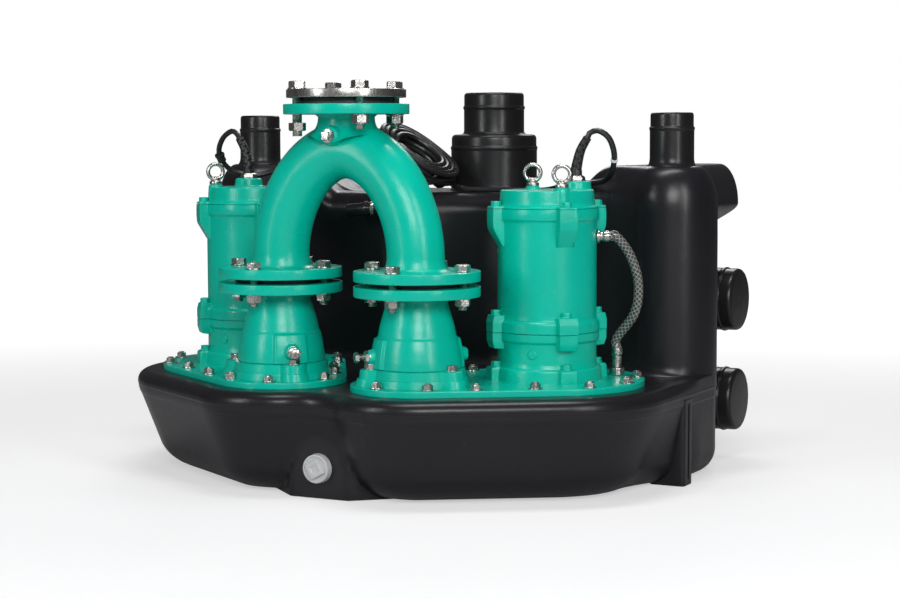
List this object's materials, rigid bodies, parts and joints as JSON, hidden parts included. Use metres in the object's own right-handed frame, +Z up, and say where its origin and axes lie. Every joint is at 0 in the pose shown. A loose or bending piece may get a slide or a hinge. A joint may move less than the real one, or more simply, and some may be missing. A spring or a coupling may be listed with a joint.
{
  "type": "twin pump sewage lifting station",
  "caption": "Floor-standing sewage pump station: moulded plastic tank with inlet and vent sockets, twin painted pumps with check valves, joined by an inverted U pipe to a flanged outlet.",
  "frame": {"origin": "centre of the footprint, at floor level", "axes": "+Z up, +X to the right of someone facing the drain plug, +Y towards the back of the tank"},
  "size_m": [0.962, 0.8369, 0.643],
  "materials": {
    "tank": "rotationally moulded polyethylene, satin, finely textured",
    "green_paint": "gloss teal-green paint on cast iron, fine orange peel",
    "steel": "stainless steel, machined and slightly dulled",
    "gasket": "matt black rubber",
    "cable": "satin black rubber sheath",
    "hose": "clear plastic hose with a woven braid",
    "drain_plug": "light grey moulded plastic"
  },
  "bodies": {
    "root": {"tank_tub": "tank", "tank_hood": "tank", "drain_plug": "drain_plug", "inlet_socket": "tank", "floor_bracket_left": "tank", "floor_bracket_right": "tank", "vent_socket_left": "tank", "vent_socket_right": "tank", "side_socket_left_lower": "tank", "side_socket_left_upper": "tank", "side_socket_right_lower": "tank", "side_socket_right_upper": "tank", "cover_plate_left": "green_paint", "cover_plate_right": "green_paint", "check_valve_left": "green_paint", "check_valve_right": "green_paint", "joint_gasket_left": "gasket", "joint_gasket_right": "gasket", "u_pipe": "green_paint", "outlet_gasket": "gasket", "steel_flange": "steel", "pump_base_left": "green_paint", "pump_base_right": "green_paint", "motor_housing_left": "green_paint", "motor_housing_right": "green_paint", "motor_cover_left": "green_paint", "motor_cover_right": "green_paint", "lifting_eye_left_front": "steel", "lifting_eye_left_rear": "steel", "lifting_eye_right_front": "steel", "lifting_eye_right_rear": "steel", "cable_gland_left": "steel", "cable_gland_right": "steel", "bend_relief_left": "cable", "bend_relief_right": "cable", "power_cable_left": "cable", "power_cable_right": "cable", "cable_coil": "cable", "vent_hose_left": "hose", "vent_hose_right": "hose", "hose_tail_low_left": "steel", "hose_tail_low_right": "steel", "hose_tail_high_left": "steel", "hose_tail_high_right": "steel"}
  },
  "joints": []
}
